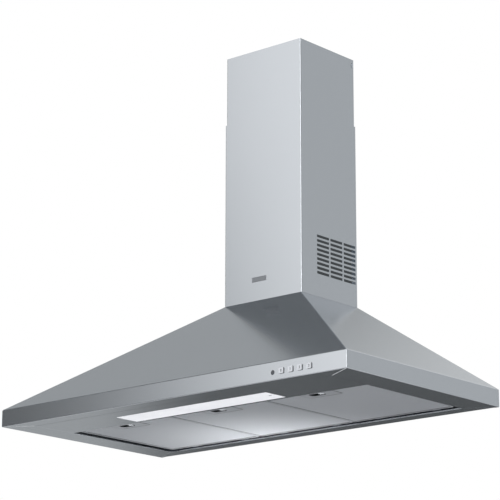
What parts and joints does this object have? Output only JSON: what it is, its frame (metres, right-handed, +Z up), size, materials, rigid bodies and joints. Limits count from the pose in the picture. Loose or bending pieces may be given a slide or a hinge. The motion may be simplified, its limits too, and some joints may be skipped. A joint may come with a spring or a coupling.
{
  "type": "chimney range hood",
  "caption": "Wall-mounted chimney range hood: pyramid canopy with grease filters, lamp and push-buttons, a centrifugal blower inside and a telescopic chimney.",
  "frame": {"origin": "middle of the underside of the whole hood's bounding box", "axes": "+X to the right as seen from the front, +Y towards the wall, +Z up"},
  "size_m": [0.898, 0.482, 0.798],
  "materials": {
    "stainless_steel": "satin brushed",
    "galvanised_steel": "galvanised",
    "plated_steel": "zinc plated",
    "filter_aluminium": "satin",
    "latch_metal": "satin",
    "latch_plastic": "smooth",
    "white_enamel": "gloss",
    "opal_plastic": "opal",
    "white_ceramic": "glazed",
    "frosted_glass": "frosted",
    "button_plastic": "silver grey",
    "lens_plastic": "smoked",
    "grey_plastic": "fine grain",
    "black_plastic": "fine grain",
    "black_rubber": "matt",
    "motor_paint": "semi-gloss",
    "nut_brass": "plain",
    "capacitor_can": "smooth"
  },
  "bodies": {
    "hood": {"canopy": "stainless_steel", "lamp_panel": "stainless_steel", "chimney_lower": "stainless_steel", "rear_panel": "galvanised_steel", "motor_bracket": "galvanised_steel", "chimney_screws": "plated_steel", "panel_screws": "plated_steel", "diffuser_screw": "plated_steel", "collar_screws": "plated_steel", "motor_screws": "plated_steel", "flap_rod": "plated_steel", "light_reflector": "white_enamel", "light_diffuser": "opal_plastic", "lamp_holders": "white_ceramic", "terminal_block": "white_ceramic", "lamp_bulbs": "frosted_glass", "indicator_lens": "lens_plastic", "volute_left": "grey_plastic", "volute_right": "grey_plastic", "outlet_collar": "grey_plastic", "switch_block": "grey_plastic", "control_box": "grey_plastic", "control_box_cover": "grey_plastic", "cable_gland": "black_plastic", "lead_grommet": "black_rubber", "motor_body": "motor_paint", "capacitor": "capacitor_can"},
    "upper_chimney": {"chimney_upper": "stainless_steel", "chimney_bracket": "galvanised_steel"},
    "impeller": {"impeller": "black_plastic", "impeller_nut": "nut_brass", "motor_shaft": "plated_steel"},
    "flap_front": {"flap_front": "grey_plastic"},
    "flap_rear": {"flap_rear": "grey_plastic"},
    "filter_left": {"filter_frame_left": "filter_aluminium", "filter_mesh_left": "filter_aluminium", "latch_plate_left": "latch_metal", "latch_spring_left": "plated_steel"},
    "latch_left": {"latch_slide_left": "latch_plastic"},
    "filter_centre": {"filter_frame_centre": "filter_aluminium", "filter_mesh_centre": "filter_aluminium", "latch_plate_centre": "latch_metal", "latch_spring_centre": "plated_steel"},
    "latch_centre": {"latch_slide_centre": "latch_plastic"},
    "filter_right": {"filter_frame_right": "filter_aluminium", "filter_mesh_right": "filter_aluminium", "latch_plate_right": "latch_metal", "latch_spring_right": "plated_steel"},
    "latch_right": {"latch_slide_right": "latch_plastic"},
    "button_1": {"button_1": "button_plastic"},
    "button_2": {"button_2": "button_plastic"},
    "button_3": {"button_3": "button_plastic"},
    "button_4": {"button_4": "button_plastic"}
  },
  "joints": [
    {"name": "chimney_slide", "type": "slide", "parent": "hood", "child": "upper_chimney", "axis": [0, 0, 1], "range_m": [-0.14, 0.2]},
    {"name": "filter_left_tilt", "type": "hinge", "parent": "hood", "child": "filter_left", "pos_m": [-0.25027, 0.2047, 0.0063], "axis": [1, 0, 0], "range_deg": [0, 50]},
    {"name": "latch_left_slide", "type": "slide", "parent": "filter_left", "child": "latch_left", "axis": [0, 1, 0], "range_m": [0, 0.004], "stiffness_N_per_m": 400, "springref_m": -0.004, "deforming": ["latch_spring_left"]},
    {"name": "filter_centre_tilt", "type": "hinge", "parent": "hood", "child": "filter_centre", "pos_m": [0, 0.2047, 0.0063], "axis": [1, 0, 0], "range_deg": [0, 50]},
    {"name": "latch_centre_slide", "type": "slide", "parent": "filter_centre", "child": "latch_centre", "axis": [0, 1, 0], "range_m": [0, 0.004], "stiffness_N_per_m": 400, "springref_m": -0.004, "deforming": ["latch_spring_centre"]},
    {"name": "filter_right_tilt", "type": "hinge", "parent": "hood", "child": "filter_right", "pos_m": [0.25027, 0.2047, 0.0063], "axis": [1, 0, 0], "range_deg": [0, 50]},
    {"name": "latch_right_slide", "type": "slide", "parent": "filter_right", "child": "latch_right", "axis": [0, 1, 0], "range_m": [0, 0.004], "stiffness_N_per_m": 400, "springref_m": -0.004, "deforming": ["latch_spring_right"]},
    {"name": "button_1_press", "type": "slide", "parent": "hood", "child": "button_1", "axis": [0, 1, 0], "range_m": [0, 0.002], "stiffness_N_per_m": 300, "springref_m": -0.003},
    {"name": "button_2_press", "type": "slide", "parent": "hood", "child": "button_2", "axis": [0, 1, 0], "range_m": [0, 0.002], "stiffness_N_per_m": 300, "springref_m": -0.003},
    {"name": "button_3_press", "type": "slide", "parent": "hood", "child": "button_3", "axis": [0, 1, 0], "range_m": [0, 0.002], "stiffness_N_per_m": 300, "springref_m": -0.003},
    {"name": "button_4_press", "type": "slide", "parent": "hood", "child": "button_4", "axis": [0, 1, 0], "range_m": [0, 0.002], "stiffness_N_per_m": 300, "springref_m": -0.003},
    {"name": "impeller_spin", "type": "hinge", "parent": "hood", "child": "impeller", "pos_m": [0, 0.08605, 0.13876], "axis": [1, 0, 0], "continuous": true},
    {"name": "flap_front_swing", "type": "hinge", "parent": "hood", "child": "flap_front", "pos_m": [0, 0.149, 0.25805], "axis": [-1, 0, 0], "range_deg": [0, 75]},
    {"name": "flap_rear_swing", "type": "hinge", "parent": "hood", "child": "flap_rear", "pos_m": [0, 0.149, 0.25805], "axis": [1, 0, 0], "range_deg": [0, 75]}
  ]
}
